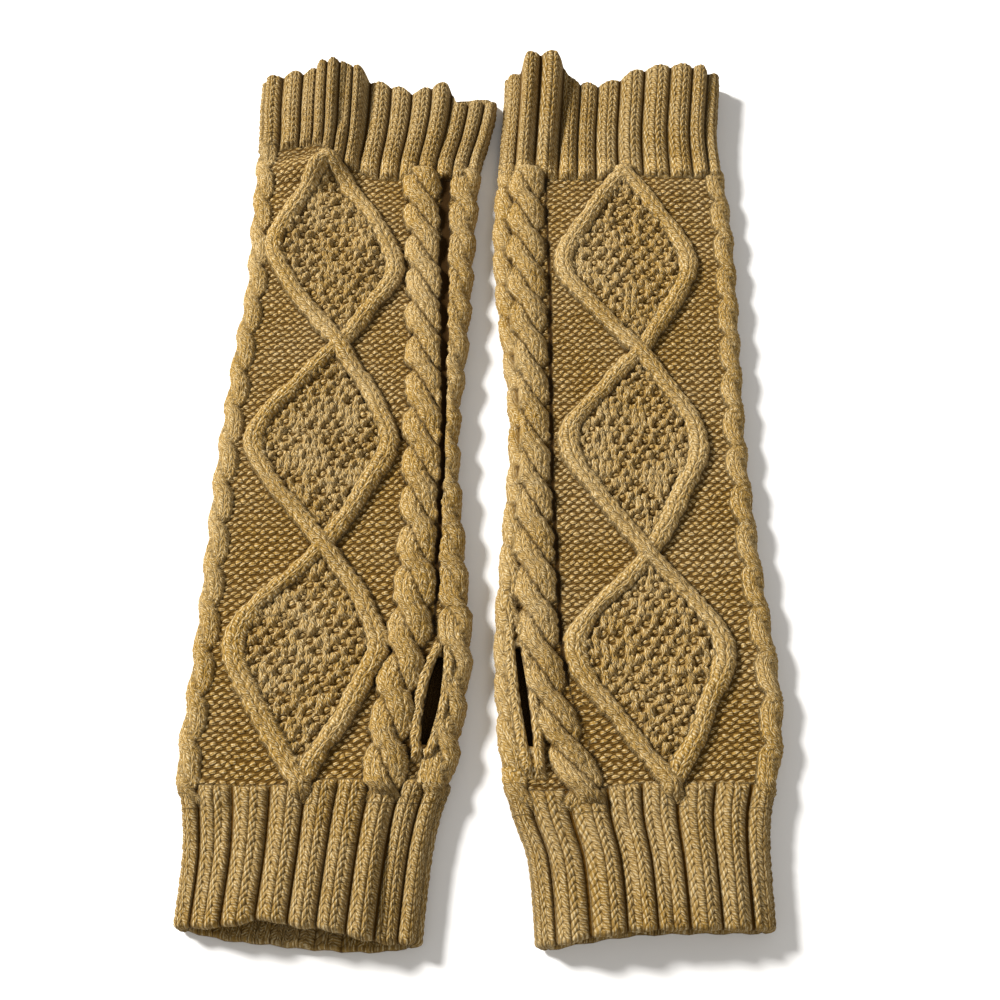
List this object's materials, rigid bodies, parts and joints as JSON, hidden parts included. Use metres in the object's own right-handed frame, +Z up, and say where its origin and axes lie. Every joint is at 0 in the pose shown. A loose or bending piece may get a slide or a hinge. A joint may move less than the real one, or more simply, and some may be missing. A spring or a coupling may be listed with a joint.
{
  "type": "pair of knitted fingerless gloves",
  "caption": "Pair of long knitted fingerless gloves laid flat side by side, with diamond panels between rope cables, ribbed cuffs and thumb slits.",
  "frame": {"origin": "middle of the laid pair, on the surface it lies on", "axes": "+Z up from the surface, +Y along the gloves towards their arm cuffs, +X across the pair with the picture's left glove at -X"},
  "size_m": [0.1804, 0.3124, 0.0169],
  "materials": {
    "knit": "heathered camel wool blend, soft and slightly fuzzy",
    "rib": "the same yarn in rib, soft and slightly fuzzy"
  },
  "bodies": {
    "root": {"left_arm_cuff": "rib", "left_body": "knit", "left_hand_cuff": "rib", "right_arm_cuff": "rib", "right_body": "knit", "right_hand_cuff": "rib"}
  },
  "joints": []
}
